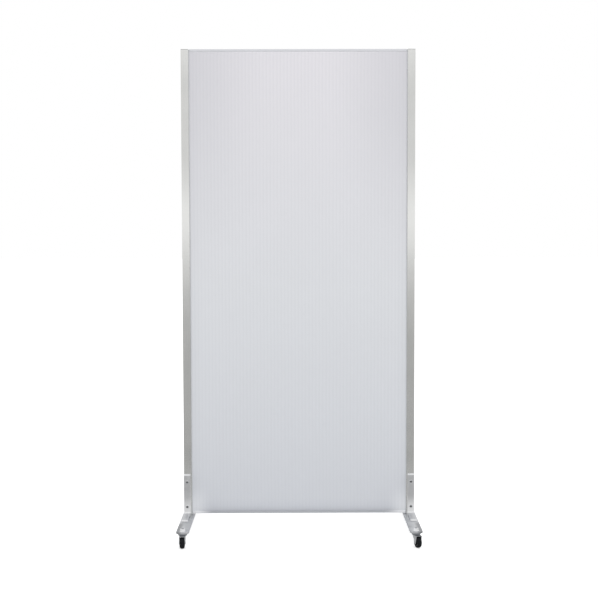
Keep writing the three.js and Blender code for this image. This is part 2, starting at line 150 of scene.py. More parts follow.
def moved(skin, turn=0.0, by=(0.0, 0.0, 0.0)):
    """The skin turned about Z and then shifted."""
    points, faces = skin
    c, s = math.cos(turn), math.sin(turn)
    return points @ np.array([[c, s, 0], [-s, c, 0], [0, 0, 1]]) + np.array(by), faces


def mirrored(skin, axis):
    """The skin reflected in the plane through the origin square to an axis, faces turned back."""
    points, faces = skin
    flip = np.ones(3)
    flip[axis] = -1
    return points * flip, [block[:, ::-1] for block in faces]


# %% [markdown]
# ## From skins to pieces
#
# Each piece needs a mesh, smooth shading that breaks at real edges, a finish, the body that it
# moves with, and the solid that it stands for hidden away. One helper does it all.

# %% Make a piece
SHARP_EDGE = math.radians(38)
pieces_made = []


def piece(node, body, slot, finish, *skins):
    """One object from closed skins, at the origin, standing for a node and riding on a body."""
    starts = np.cumsum([0] + [len(points) for points, _ in skins])
    points = np.concatenate([points for points, _ in skins]) * TO_METRES
    faces = [
        face for (_, blocks), start in zip(skins, starts) for block in blocks
        for face in (block + start).tolist()
    ]
    mesh = bpy.data.meshes.new(node + "_look")
    mesh.from_pydata(points.tolist(), [], faces)
    mesh.validate()
    mesh.shade_smooth()
    mesh.set_sharp_from_angle(angle=SHARP_EDGE)
    mesh.materials.append(finish)
    made = bpy.data.objects.new(node + "_look", mesh)
    scene.collection.objects.link(made)
    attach(made, body)
    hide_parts(node)
    pieces_made.append((node, len(faces)))


# %% [markdown]
# ## Bars, plates and channels
#
# Most of the frame is bar and extrusion: one outline carried straight along. No cut metal has a
# knife edge, so the outline's corners become arcs, and it is drawn in as it comes to each end. A
# Bevel modifier could do it, but the arcs here stay even round a corner.

# %% Outlines and prisms
ARC_POINTS = 5


def rounded(corners, radii, steps=ARC_POINTS):
    """Each corner becomes an arc whose centre lies on the bisector, radius / sin(half angle) in."""
    p = np.asarray(corners, float)
    r = np.broadcast_to(np.asarray(radii, float), len(p))[:, None]
    back, ahead = np.roll(p, 1, 0) - p, np.roll(p, -1, 0) - p
    back /= np.linalg.norm(back, axis=1, keepdims=True)
    ahead /= np.linalg.norm(ahead, axis=1, keepdims=True)
    half = np.arccos(np.clip((back * ahead).sum(1), -1, 1))[:, None] / 2
    bisector = (back + ahead) / np.linalg.norm(back + ahead, axis=1, keepdims=True)
    centre = p + bisector * r / np.sin(half)
    first = p + back * r / np.tan(half) - centre
    last = p + ahead * r / np.tan(half) - centre
    sweep = np.pi - 2 * half
    s = np.linspace(0, 1, steps)
    near = (np.sin((1 - s) * sweep) / np.sin(sweep))[..., None] * first[:, None]
    far = (np.sin(s * sweep) / np.sin(sweep))[..., None] * last[:, None]
    return (centre[:, None] + near + far).reshape(-1, 2)


def drawn_in(line, by):
    """The outline moved inwards along the mitre of the two sides that meet at each point."""
    side = np.roll(line, -1, 0) - line
    normal = np.stack([side[:, 1], -side[:, 0]], 1) / np.linalg.norm(side, axis=1, keepdims=True)
    before = np.roll(normal, 1, 0)
    mitre = (normal + before) / (1 + (normal * before).sum(1, keepdims=True))
    area = (line[:, 0] * np.roll(line[:, 1], -1) - line[:, 1] * np.roll(line[:, 0], -1)).sum()
    return line - by * mitre * np.sign(area)


def in_space(flat, along, axis):
    """Flat points placed along an axis, all at one distance or at one each."""
    return np.insert(np.asarray(flat, float), axis, along, axis=1)


def lofted(rings):
    """Rings of equally many points joined in turn, with a face over the first and over the last."""
    n, m = len(rings), len(rings[0])
    caps = [np.arange(m)[::-1], np.arange((n - 1) * m, n * m)]
    return shell(np.concatenate(rings), n, m, caps=caps)


def prism(line, lo, hi, edge, axis, steps=3):
    """The outline carried from lo to hi, and drawn in over a quarter round at each end."""
    a = np.linspace(0, np.pi / 2, steps)
    shrink = edge * (1 - np.sin(a))
    into = edge * (1 - np.cos(a))
    rings = [in_space(drawn_in(line, s), lo + d, axis) for s, d in zip(shrink, into)]
    rings += [in_space(drawn_in(line, s), hi - d, axis) for s, d in zip(shrink[::-1], into[::-1])]
    return lofted(rings)


plate = prism(rounded([(0, 0), (9, 0), (9, 9), (0, 9)], 1), 0, 2, 0.3, 2)
print("a 2 mm plate's faces:", sum(len(block) for block in plate[1]))

# %% [markdown]
# ## Turned and hexagonal things
#
# Wheels, pins, races and bolt heads are turned: a profile of radius against height, swept round.
# A nut or a hex socket is the same sweep with a radius that changes with the angle.

# %% Turning
def hex_radius(angle, across_flats):
    """Distance to a hexagon's side: a flat's distance over the cosine of the angle from its middle."""
    off = (angle + np.pi / 6) % (np.pi / 3) - np.pi / 6
    return across_flats / 2 / np.cos(off)


def turned(profile, sides, axis=2, closed=False):
    """Each profile point (r, h) swept to (r cos a, r sin a) about the axis, at height h.
    A profile entry may be a function of the angles, which gives r and h for each of them."""
    a = np.linspace(0, 2 * np.pi, sides, endpoint=False)
    rows = [entry(a) if callable(entry) else (entry[0] + 0 * a, entry[1] + 0 * a) for entry in profile]
    r, h = np.array([row[0] for row in rows]), np.array([row[1] for row in rows])
    flat = np.stack([r * np.cos(a), r * np.sin(a)], -1).reshape(-1, 2)
    return shell(in_space(flat, h.reshape(-1), axis), len(rows), sides, round_rows=closed)


# %% [markdown]
# ## Shared finish effects
#
# Drawn and brushed metal carries lines along the way that it was pulled or rubbed, and moulded and
# plated surfaces carry soft clouds. Both are noise read at the object's own coordinates, stretched
# along the grain for the first. Each is a node group, built once, that puts out a mask, and each
# finish below mixes its own colours with it.

# %% Node groups
def node_group(name, inputs, outputs):
    """An empty shader group with its sockets: (type, name, default) in and (type, name) out."""
    tree = bpy.data.node_groups.new(name, "ShaderNodeTree")
    for kind, label, default in inputs:
        tree.interface.new_socket(label, in_out="INPUT", socket_type=kind).default_value = default
    for kind, label in outputs:
        tree.interface.new_socket(label, in_out="OUTPUT", socket_type=kind)
    return tree, tree.nodes.new("NodeGroupInput"), tree.nodes.new("NodeGroupOutput")


def feed(tree, socket, value):
    """An input takes a value, or a link from another node's output."""
    if isinstance(value, bpy.types.NodeSocket):
        tree.links.new(value, socket)
    else:
        socket.default_value = value


def math_node(tree, operation, *values):
    """A Math node whose inputs are sockets or numbers."""
    node = tree.nodes.new("ShaderNodeMath")
    node.operation = operation
    for socket, value in zip(node.inputs, values):
        feed(tree, socket, value)
    return node.outputs[0]


def times(tree, first, second):
    """The product of two values."""
    return math_node(tree, "MULTIPLY", first, second)


def size_of(tree, value):
    """The value without its sign."""
    return math_node(tree, "ABSOLUTE", value)


def noise(tree, vector, scale, detail):
    """A Noise Texture's value at a vector."""
    node = tree.nodes.new("ShaderNodeTexNoise")
    for label, value in (("Vector", vector), ("Scale", scale), ("Detail", detail)):
        feed(tree, node.inputs[label], value)
    return node.outputs[0]


def ranged(tree, value, lo, hi, from_lo=0.0, from_hi=1.0, smooth=False):
    """A value from one range to another, held at its ends."""
    node = tree.nodes.new("ShaderNodeMapRange")
    node.interpolation_type = "SMOOTHSTEP" if smooth else "LINEAR"
    labels = ("Value", "To Min", "To Max", "From Min", "From Max")
    for label, given in zip(labels, (value, lo, hi, from_lo, from_hi)):
        feed(tree, node.inputs[label], given)
    return node.outputs[0]


def make_grain():
    """Lines: noise on coordinates multiplied by the stretch, a fine one on a coarse one."""
    tree, given, out = node_group(
        "grain",
        [("NodeSocketVector", "Position", (0, 0, 0)), ("NodeSocketVector", "Stretch", (1, 1, 1))],
        [("NodeSocketFloat", "Lines")],
    )
    stretched = tree.nodes.new("ShaderNodeVectorMath")
    stretched.operation = "MULTIPLY"
    tree.links.new(given.outputs["Position"], stretched.inputs[0])
    tree.links.new(given.outputs["Stretch"], stretched.inputs[1])
    fine = noise(tree, stretched.outputs[0], 1.0, 3)
    broad = noise(tree, stretched.outputs[0], 0.23, 2)
    mixed = math_node(tree, "MULTIPLY_ADD", fine, 0.6, times(tree, broad, 0.4))
    tree.links.new(mixed, out.inputs["Lines"])
    return tree


def make_cloud():
    """Soft patches: noise with its middle values spread to the full range."""
    tree, given, out = node_group(
        "cloud",
        [("NodeSocketVector", "Position", (0, 0, 0)), ("NodeSocketFloat", "Scale", 10.0)],
        [("NodeSocketFloat", "Patches")],
    )
    value = noise(tree, given.outputs["Position"], given.outputs["Scale"], 4)
    tree.links.new(ranged(tree, value, 0.0, 1.0, 0.3, 0.7), out.inputs["Patches"])
    return tree


GRAIN = make_grain()
CLOUD = make_cloud()
print("groups", GRAIN.name, CLOUD.name)


# %% Helpers for a material
def linear(r, g, b):
    """A screen colour from 0 to 255 as scene light: the sRGB curve undone."""
    c = np.array([r, g, b]) / 255
    return tuple(np.where(c <= 0.04045, c / 12.92, ((c + 0.055) / 1.055) ** 2.4)) + (1.0,)


def new_finish(name, metallic=0.0, specular=0.5):
    """A material with a Principled shader, and the object's own coordinates."""
    made = bpy.data.materials.new(name)
    made.use_nodes = True
    tree = made.node_tree
    shader = tree.nodes["Principled BSDF"]
    shader.inputs["Metallic"].default_value = metallic
    shader.inputs["Specular IOR Level"].default_value = specular
    return made, tree, shader, tree.nodes.new("ShaderNodeTexCoord").outputs["Object"]


def object_axes(tree):
    """The object's own coordinates, one socket each."""
    split = tree.nodes.new("ShaderNodeSeparateXYZ")
    tree.links.new(tree.nodes.new("ShaderNodeTexCoord").outputs["Object"], split.inputs[0])
    return tuple(split.outputs)


def effect(tree, group, position, **values):
    """A shared group placed in a material, with its own values."""
    node = tree.nodes.new("ShaderNodeGroup")
    node.node_tree = group
    for label, value in {"Position": position, **values}.items():
        feed(tree, node.inputs[label], value)
    return node.outputs[0]


def by_stops(tree, value, stops, lo, hi):
    """Colours at places between lo and hi, blended from each stop to the next."""
    node = tree.nodes.new("ShaderNodeValToRGB")
    elements = node.color_ramp.elements
    while len(elements) < len(stops):
        elements.new(0.5)
    for element, (place, colour) in zip(elements, stops):
        element.position = (place - lo) / (hi - lo)
        element.color = colour
    tree.links.new(ranged(tree, value, 0.0, 1.0, lo, hi), node.inputs[0])
    return node.outputs[0]


def mixed_colour(tree, mask, first, second):
    """Between two colours, each a socket or a value, by a mask."""
    node = tree.nodes.new("ShaderNodeMix")
    node.data_type = "RGBA"
    for place, value in (("Factor", mask), (6, first), (7, second)):
        feed(tree, node.inputs[place], value)
    return node.outputs[2]


def painted_over(made, mask, tone, bare=True):
    """A finish's colour gives way to a tone as the mask grows, and Metallic falls if it isn't bare."""
    tree = made.node_tree
    shader = tree.nodes["Principled BSDF"]
    was = shader.inputs["Base Color"].links[0].from_socket
    tree.links.new(mixed_colour(tree, mask, was, linear(*tone)), shader.inputs["Base Color"])
    if not bare:
        tree.links.new(math_node(tree, "SUBTRACT", 1.0, mask), shader.inputs["Metallic"])


def bumped(tree, shader, height, depth):
    """Relief of that depth in metres from a height between 0 and 1."""
    node = tree.nodes.new("ShaderNodeBump")
    node.inputs["Distance"].default_value = depth
    tree.links.new(height, node.inputs["Height"])
    tree.links.new(node.outputs[0], shader.inputs["Normal"])


def grained(name, dark, light, rough, depth, stretch, clouds, metallic=1.0, specular=0.5):
    """A finish with grain lines and soft clouds: they mix two colours and move the roughness. The
    lines' depth is in metres, and their stretch one number or one for each axis."""
    made, tree, shader, position = new_finish(name, metallic, specular)
    lines = effect(tree, GRAIN, position, Stretch=np.broadcast_to(stretch, 3).tolist())
    patches = effect(tree, CLOUD, position, Scale=clouds)
    both = math_node(tree, "MULTIPLY_ADD", patches, 0.4, times(tree, lines, 0.6))
    tree.links.new(mixed_colour(tree, both, linear(*dark), linear(*light)), shader.inputs["Base Color"])
    tree.links.new(ranged(tree, both, *rough), shader.inputs["Roughness"])
    bumped(tree, shader, lines, depth)
    return made


# %% [markdown]
# ## The metals
#
# The posts are anodised, with a grain that runs up them, and mirror the room in soft bands. The feet
# are brushed along their length and the brackets round their bend. Zinc plate has no direction but
# a mottled bloom. Bare metal is a Principled shader with full metallic, whose base colour is how
# much it reflects. Painted shade and painted highlights are laid over it by masks from the object's
# own coordinates, and darker or whiter copies of the zinc paint shade and highlight on some parts.

# %% Metals
POST_METAL = grained(
    "anodised_post", (231, 232, 230), (241, 241, 239), (0.10, 0.19), 0.00002, (900.0, 900.0, 5.0), 9.0)
FOOT_METAL = grained(
    "brushed_foot", (186, 188, 192), (236, 237, 239), (0.26, 0.42), 0.00005, (700.0, 10.0, 700.0), 26.0)
FOOT_SIDE = float(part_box("foot_right")[1][0])
BRACKET_LOW = float(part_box("bracket_rear_right")[0][2])
BRACKET_TOE = float(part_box("bracket_rear_right")[1][1])
# The strength and tone of the painted shade along each foot's outer side.
SIDE_SHADE, SIDE_SHADE_TONE = 0.7, (118, 120, 124)
SIDE_FROM, SIDE_FULL = FOOT_SIDE - 0.028, FOOT_SIDE - 0.008
PAST_FROM, PAST_FULL = BRACKET_TOE - 0.01, BRACKET_TOE + 0.05


def shade_foot_side(made):
    """Painted shade darkens each foot's outer side past the bracket's toe, most towards the side."""
    tree = made.node_tree
    x, y, _ = object_axes(tree)
    band = ranged(tree, size_of(tree, x), 0.0, SIDE_SHADE, SIDE_FROM, SIDE_FULL, smooth=True)
    past = ranged(tree, size_of(tree, y), 0.0, 1.0, PAST_FROM, PAST_FULL, smooth=True)
    painted_over(made, times(tree, band, past), SIDE_SHADE_TONE)


shade_foot_side(FOOT_METAL)
BRACKET_METAL = grained(
    "brushed_bracket", (208, 209, 211), (238, 239, 240), (0.26, 0.40), 0.00004,
    (1100.0, 18.0, 18.0), 26.0)
# Metres from the screen's middle plane: the upright leg ends, the lower leg starts and is full.
UPRIGHT_TO, LOWER_FROM, LOWER_FULL = 0.023, 0.028, 0.036
# The painted shade on the lower leg, and the painted highlight on the upright leg towards the bend.
LOWER_SHADE, LOWER_SHADE_TONE = 0.55, (192, 194, 198)
BEVEL_FROM, BEVEL_FULL = BRACKET_TOE - 0.012, BRACKET_TOE - 0.007
BEND_HIGHLIGHT, BEND_HIGHLIGHT_TONE = 0.62, (250, 250, 250)
GLOW_FULL, GLOW_TO = BRACKET_LOW + 0.012, BRACKET_LOW + 0.095


def paint_bracket_light(made):
    """Painted shade dulls the lower leg up to its bevelled toe, and a painted pale, matt highlight lies
    on the upright leg towards the bend. |y| tells the legs apart."""
    tree = made.node_tree
    _, y, z = object_axes(tree)
    away = size_of(tree, y)
    lower = ranged(tree, away, 0.0, 1.0, LOWER_FROM, LOWER_FULL)
    short_of_toe = ranged(tree, away, LOWER_SHADE, 0.0, BEVEL_FROM, BEVEL_FULL)
    painted_over(made, times(tree, lower, short_of_toe), LOWER_SHADE_TONE)
    down = ranged(tree, z, BEND_HIGHLIGHT, 0.0, GLOW_FULL, GLOW_TO, smooth=True)
    upright = ranged(tree, away, 1.0, 0.0, UPRIGHT_TO, LOWER_FROM)
    painted_over(made, times(tree, down, upright), BEND_HIGHLIGHT_TONE, bare=False)


paint_bracket_light(BRACKET_METAL)
FASTENER_ZINC = grained(
    "bright_zinc", (196, 199, 203), (232, 233, 233), (0.18, 0.32), 0.00002, 300.0, 180.0)
# The stem nuts take a whiter, mostly matt copy of the zinc: a painted highlight.
NUT_ZINC_HIGHLIT = grained(
    "nut_zinc_highlit", (238, 239, 241), (252, 252, 252), (0.30, 0.45), 0.00002, 300.0, 180.0, 0.3)
# Stems, races and ball rings take a darker copy of the zinc: painted shade under the feet.
CASTER_ZINC_SHADED = grained(
    "caster_zinc_shaded", (142, 146, 152), (190, 192, 195), (0.24, 0.42), 0.00003, 260.0, 90.0)
FORK_ZINC = grained(
    "fork_zinc", (180, 183, 187), (220, 221, 223), (0.24, 0.42), 0.00003, 260.0, 90.0)

# %% [markdown]
# ## Rubber and moulded plastic
#
# Dust greys the black tyres and wheel cores. The strips beside the sheet are grey rubber drawn out
# along Z, and the caps and edge channels are plastic.

# %% Rubber and plastic
TYRE_RUBBER = grained(
    "black_tyre", (14, 15, 17), (36, 38, 41), (0.5, 0.7), 0.00006, 500.0, 60.0, 0.0, 0.08)
CORE_PLASTIC = grained(
    "black_core", (24, 25, 28), (44, 45, 48), (0.38, 0.55), 0.00003, 700.0, 50.0, 0.0)
GASKET_RUBBER = grained(
    "grey_gasket", (190, 192, 195), (204, 206, 208), (0.55, 0.7), 0.00003,
    (700.0, 700.0, 9.0), 14.0, 0.0, 0.3)
CAP_PLASTIC = grained(
    "grey_cap", (168, 169, 170), (184, 185, 185), (0.45, 0.6), 0.00003, 900.0, 40.0, 0.0)
EDGE_TOP_PLASTIC = grained(
    "edge_channel_top", (205, 206, 210), (214, 215, 219), (0.32, 0.42), 0.00002,
    (7.0, 700.0, 700.0), 12.0, 0.0)
# The lower channel is a darker copy of the upper one's plastic: painted shade. Its ends get painted
# light below.
EDGE_BOTTOM_SHADED_PLASTIC = grained(
    "edge_channel_bottom_shaded", (168, 171, 177), (182, 185, 190), (0.32, 0.42), 0.00002,
    (7.0, 700.0, 700.0), 12.0, 0.0)
CHANNEL_END = float(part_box("edge_profile_bottom")[1][0])
END_GLOW, END_TONE = 0.9, (248, 249, 252)


def brighten_ends(made):
    """The lower channel's ends catch light from the feet: a mask that grows towards the posts."""
    tree = made.node_tree
    aside = size_of(tree, object_axes(tree)[0])
    mask = ranged(tree, aside, 0.0, END_GLOW, CHANNEL_END - 0.10, CHANNEL_END - 0.01, smooth=True)
    painted_over(made, mask, END_TONE)


brighten_ends(EDGE_BOTTOM_SHADED_PLASTIC)

# %% [markdown]
# ## The opal sheet
#
# The sheet is two thin skins of milky plastic joined by upright ribs. It spreads the light, so it
# looks like soft white paper with a faint darker line at each rib. Each skin bows in a hair's
# breadth between ribs, which gives the gloss its upright ripple. Glass-like transmission would be
# noisy and slow, so the finish paints what leaves the skin.

# %% Sheet finish
SHEET_LO, SHEET_HI = (np.array(corner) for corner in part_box("sheet"))
FLUTES = 64
FLUTE_PITCH = float(SHEET_HI[0] - SHEET_LO[0]) / FLUTES
POST_EDGE = float(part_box("post_right")[0][0])
SKIN_BOW = 0.00012  # metres
# The colour that leaves the sheet, by height in metres: greyer at the foot, where light leaks out,
# and paler just under the top channel, which shades it.
SHEET_BY_HEIGHT = [
    (0.077, (174, 177, 184)), (0.105, (202, 205, 212)), (0.14, (208, 211, 217)),
    (1.1, (218, 220, 224)), (2.158, (224, 222, 227)), (2.163, (240, 238, 243)),
]
SHADE_TONE, GLOW_TONE, CLOUD_TONE = (176, 178, 184), (250, 252, 255), (204, 205, 208)
# How strong each mask is, and where it starts and is full: in flutes from a rib, or in metres.
RIB_SHADE, RIB_FULL, RIB_TO = 0.085, 0.02, 0.28
EDGE_SHADE, EDGE_FROM = 0.07, POST_EDGE - 0.06
CORNER_SHADE, CORNER_ASIDE, CORNER_UP, CORNER_FULL = 0.29, 0.12, 1.15, 2.1
FOOT_GLOW, FOOT_GLOW_FROM, FOOT_GLOW_H = 0.62, POST_EDGE - 0.10, 0.14
CLOUD_SHADE, CLOUD_SCALE = 0.12, 3.0


def opal_sheet():
    """Colour by height, darkened by rib lines, beside the posts and towards the upper corners, and
    paler above the feet, which throw light up into the flutes."""
    made, tree, shader, position = new_finish("opal_sheet", 0.0, 0.35)
    x, _, z = object_axes(tree)
    low, high = float(SHEET_LO[2]), float(SHEET_HI[2])
    counted = math_node(tree, "MULTIPLY_ADD", x, 1 / FLUTE_PITCH, FLUTES / 2 + 0.5)
    off = size_of(tree, math_node(tree, "SUBTRACT", math_node(tree, "FRACT", counted), 0.5))
    rib = ranged(tree, off, RIB_SHADE, 0.0, RIB_FULL, RIB_TO, smooth=True)
    aside = size_of(tree, x)
    edge = ranged(tree, aside, 0.0, EDGE_SHADE, EDGE_FROM, POST_EDGE, smooth=True)
    outward = ranged(tree, aside, 0.0, CORNER_SHADE, CORNER_ASIDE, POST_EDGE, smooth=True)
    upward = ranged(tree, z, 0.0, 1.0, CORNER_UP, CORNER_FULL, smooth=True)
    corner = times(tree, outward, upward)
    near_post = ranged(tree, aside, 0.0, FOOT_GLOW, FOOT_GLOW_FROM, POST_EDGE, smooth=True)
    downward = ranged(tree, z, 1.0, 0.0, low, low + FOOT_GLOW_H, smooth=True)
    glow = times(tree, near_post, downward)
    patches = effect(tree, CLOUD, position, Scale=CLOUD_SCALE)
    cloud = ranged(tree, patches, 0.0, CLOUD_SHADE)
    base = by_stops(tree, z, [(height, linear(*tone)) for height, tone in SHEET_BY_HEIGHT], low, high)
    shades = [(mask, SHADE_TONE) for mask in (rib, edge, corner)]
    for mask, tone in [(cloud, CLOUD_TONE), (glow, GLOW_TONE), *shades]:
        base = mixed_colour(tree, mask, base, linear(*tone))
    tree.links.new(base, shader.inputs["Base Color"])
    tree.links.new(ranged(tree, patches, 0.3, 0.38), shader.inputs["Roughness"])
    bumped(tree, shader, ranged(tree, off, 1.0, 0.0, 0.0, 0.5, smooth=True), SKIN_BOW)
    return made


def paint_node(node, finish):
    """A kept solid takes a finish in every slot."""
    mesh = frame["nodes"][node].data
    mesh.materials.clear()
    mesh.materials.append(finish)


paint_node("sheet", opal_sheet())
print("flute pitch", round(FLUTE_PITCH * 1000, 2), "mm")

# %% [markdown]
# ## Posts
#
# Each post is an extrusion: a hollow chamber outside, and inside it a slot with two lips for the
# sheet. A section swept upwards leaves cleaner long faces than a Boolean. It has an outer outline and
# an inner one, and two cuts between them split each end face into two plain ones.

# %% Posts
SIDES = (("left", -1), ("right", 1))
FACES = (("front", -1), ("rear", 1))
CHAMBER_W, CHAMBER_WALL, LIP_WALL = 22.5, 2.2, 2.5
CORNER = 0.5


def corners_mm(node):
    """A node's lowest and highest corners in millimetres."""
    lo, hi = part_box(node)
    return np.array(lo) * 1000, np.array(hi) * 1000


def box_section(lo, hi):
    """The four corners of a rectangle, anticlockwise."""
    return [(lo[0], lo[1]), (hi[0], lo[1]), (hi[0], hi[1]), (lo[0], hi[1])]


def tube(outer, inner, lo, hi, outer_cut, inner_cut):
    """Two outlines carried from lo to hi, and each end closed by two faces between the cuts."""
    n, m = len(outer), len(inner)
    line = np.concatenate([outer, inner])
    points = np.concatenate([in_space(line, lo, 2), in_space(line, hi, 2)])

    def upright(start, count):
        """Quads up from an outline's sides, where its points have the numbers from start on."""
        near = start + np.arange(count)
        far = np.roll(near, -1)
        return np.stack([near, far, far + n + m, near + n + m], 1)

    (i, j), (k, l) = outer_cut, inner_cut
    around = np.r_[np.arange(j, n), np.arange(0, i + 1)]
    back = n + np.r_[np.arange(0, k + 1)[::-1], np.arange(l, m)[::-1]]
    halves = [np.r_[np.arange(i, j + 1), n + np.arange(k, l + 1)[::-1]], np.r_[around, back]]
    faces = [upright(0, n), upright(n, m)[:, ::-1]]
    faces += [half[::-1][None, :] for half in halves] + [(half + n + m)[None, :] for half in halves]
    if volume(points, faces) < 0:
        faces = [block[:, ::-1] for block in faces]
    return points, faces


def post_skin():
    """The right-hand post's section, carried up from the foot to the cap."""
    lo, hi = corners_mm("post_right")
    web = hi[0] - CHAMBER_W
    slot = hi[1] - LIP_WALL
    outer = rounded([
        (hi[0], lo[1]), (hi[0], hi[1]), (lo[0], hi[1]), (lo[0], slot), (web, slot), (web, -slot),
        (lo[0], -slot), (lo[0], lo[1]),
    ], CORNER)
    inner = rounded([
        (hi[0] - CHAMBER_WALL, lo[1] + CHAMBER_WALL), (hi[0] - CHAMBER_WALL, hi[1] - CHAMBER_WALL),
        (web + CHAMBER_WALL, hi[1] - CHAMBER_WALL), (web + CHAMBER_WALL, lo[1] + CHAMBER_WALL),
    ], CORNER)
    middle = ARC_POINTS // 2
    cut = (middle, ARC_POINTS + middle)
    return tube(outer, inner, lo[2], hi[2], cut, cut)


def on_sides(node, slot, finish, *skins):
    """The frame's right-hand piece, and its reflection for the left."""
    for side_name, side in SIDES:
        placed = skins if side > 0 else [mirrored(skin, 0) for skin in skins]
        piece(f"{node}_{side_name}", "frame", slot, finish, *placed)


def on_corners(node, slot, finish, skin):
    """The frame's rear right piece, and its reflections."""
    for side_name, side in SIDES:
        placed = skin if side > 0 else mirrored(skin, 0)
        for face_name, face in FACES:
            flipped = placed if face > 0 else mirrored(placed, 1)
            piece(f"{node}_{face_name}_{side_name}", "frame", slot, finish, flipped)


on_sides("post", "post", POST_METAL, post_skin())
print("post", pieces_made[-1])

# %% [markdown]
# ## Caps and edge channels
#
# A moulded plate closes each post, with a plug down its chamber as a second skin in the same piece.
# Along the top and the bottom of the sheet runs a thin channel that shuts the flutes against dust.
# All are prisms, with edges as soft as a mould leaves them.

# %% Caps and channels
CAP_T, CAP_EDGE, PLUG_GAP = 2.0, 0.5, 0.3
CHANNEL_WALL, CHANNEL_WEB = 1.5, 2.0


def cap_skins():
    """A plate over the post and a plug in its chamber, both rounded."""
    lo, hi = corners_mm("post_cap_right")
    plate = prism(rounded(box_section(lo, hi), 1.2), hi[2] - CAP_T, hi[2], CAP_EDGE, 2)
    inset = CHAMBER_WALL + PLUG_GAP
    plug_lo = (hi[0] - CHAMBER_W + inset, lo[1] + inset)
    plug_hi = (hi[0] - inset, hi[1] - inset)
    plug = prism(rounded(box_section(plug_lo, plug_hi), 1.0), lo[2], hi[2] - CAP_T / 2, CAP_EDGE, 2)
    return plate, plug


def channel_skin(node, up):
    """A U section in Y and Z, open towards the sheet, carried along X."""
    lo, hi = corners_mm(node)
    shut, open_end = (hi[2], lo[2]) if up else (lo[2], hi[2])
    web = shut - CHANNEL_WEB if up else shut + CHANNEL_WEB
    inner = hi[1] - CHANNEL_WALL
    section = [
        (lo[1], shut), (lo[1], open_end), (-inner, open_end), (-inner, web),
        (inner, web), (inner, open_end), (hi[1], open_end), (hi[1], shut),
    ]
    return prism(rounded(section, 0.4, 3), lo[0], hi[0], 0.3, 0)


on_sides("post_cap", "post_cap", CAP_PLASTIC, *cap_skins())
for end, up, plastic in (("top", True, EDGE_TOP_PLASTIC), ("bottom", False, EDGE_BOTTOM_SHADED_PLASTIC)):
    node = f"edge_profile_{end}"
    piece(node, "frame", "edge_profile", plastic, channel_skin(node, up))
print("channel", pieces_made[-1])

# %% [markdown]
# ## Glazing strips
#
# A rubber strip fills each gap between the sheet and a lip of the slot, and swells to a bead that
# shows as a fine darker line beside the post.

# %% Strips
BEAD_W = 3.6
TONGUE_SHARE, BEAD_SLOPE = 0.6, 0.3  # of the strip's depth, and of the bead's width
STRIP_RADII = [0.2, 0.2, 0.2, 0.5, 0.9, 0.2]


def strip_skin(node):
    """A flat tongue with a rounded bead, in X and Y, for the right rear, carried up."""
    lo, hi = corners_mm(node)
    tongue = lo[1] + (hi[1] - lo[1]) * TONGUE_SHARE
    section = [
        (hi[0], lo[1]), (hi[0], tongue), (lo[0] + BEAD_W, tongue), (lo[0] + BEAD_W, hi[1]),
        (lo[0] + BEAD_W * BEAD_SLOPE, hi[1]), (lo[0], lo[1]),
    ]
    return prism(rounded(section, STRIP_RADII, 4), lo[2], hi[2], 0.1, 2)


on_corners("gasket", "gasket", GASKET_RUBBER, strip_skin("gasket_rear_right"))
print("strip", pieces_made[-1])

# %% [markdown]
# ## Feet
#
# A foot is a length of flat bar with rounded corners and broken edges. Nuts, races and screw heads
# cover its holes, so the bar is drawn whole.

# %% Feet
FOOT_CORNER, BAR_EDGE = 14.0, 1.1


def foot_skin():
    """The bar's plan, with large corner arcs, raised through its thickness."""
    lo, hi = corners_mm("foot_right")
    return prism(rounded(box_section(lo, hi), FOOT_CORNER, 12), lo[2], hi[2], BAR_EDGE, 2, 4)


on_sides("foot", "foot", FOOT_METAL, foot_skin())
print("foot", pieces_made[-1])

# %% [markdown]
# ## Brackets
#
# Each bracket is a bar bent to an L, up the post and out along the foot. Its free ends are milled off
# at a slant, which catches the light from above. The side view is the outline here, with a tight
# arc outside the bend and a larger one inside.

# %% Brackets
BRACKET_T, BRACKET_CHAMFER, HEEL, CROOK = 8.0, 6.0, 3.0, 5.0


def bracket_skin():
    """The rear right bracket: its side view in Y and Z, spread across its width."""
    lo, hi = corners_mm("bracket_rear_right")
    view = [
        (lo[1], lo[2]), (hi[1], lo[2]), (hi[1], lo[2] + BRACKET_T - BRACKET_CHAMFER),
        (hi[1] - BRACKET_CHAMFER, lo[2] + BRACKET_T), (lo[1] + BRACKET_T, lo[2] + BRACKET_T),
        (lo[1] + BRACKET_T, hi[2] - BRACKET_CHAMFER),
        (lo[1] + BRACKET_T - BRACKET_CHAMFER, hi[2]), (lo[1], hi[2]),
    ]
    soft = [HEEL, 0.7, 0.8, 0.8, CROOK, 0.8, 0.8, 0.7]
    return prism(rounded(view, soft, 6), lo[0], hi[0], 0.6, 0, 4)


on_corners("bracket", "bracket", BRACKET_METAL, bracket_skin())
print("bracket", pieces_made[-1])

# %% [markdown]
# ## Bolts, nuts and screws
#
# Two bolts clamp each pair of brackets to the post. Their heads are low domes with a hex socket.
# A cone turns off a nut's corners, which leaves the curved edge on each flat.

# %% Fasteners
HEX_SIDES = 48
SOFT = 0.5  # how far a nut's or a rivet's small corners are cut
BOLT_R, BOLT_POINT, HEAD_R, HEAD_H, DOME_H = 4.0, 0.8, 7.2, 4.4, 3.5
SOCKET_AF, SOCKET_DEPTH, SOCKET_TIP = 5.0, 2.6, 0.6
NUT_AF, NUT_BORE, CONE_SLOPE, CONE_SHARE = 13.0, 4.3, 0.55, 0.97
STEM_NUT_AF, STEM_BORE, FLANGE_R, FLANGE_H = 19.0, 6.3, 13.0, 2.4
SCREW_HEAD_R, SCREW_HEAD_H, SCREW_SOCKET_DEPTH = 7.8, 4.0, 2.4


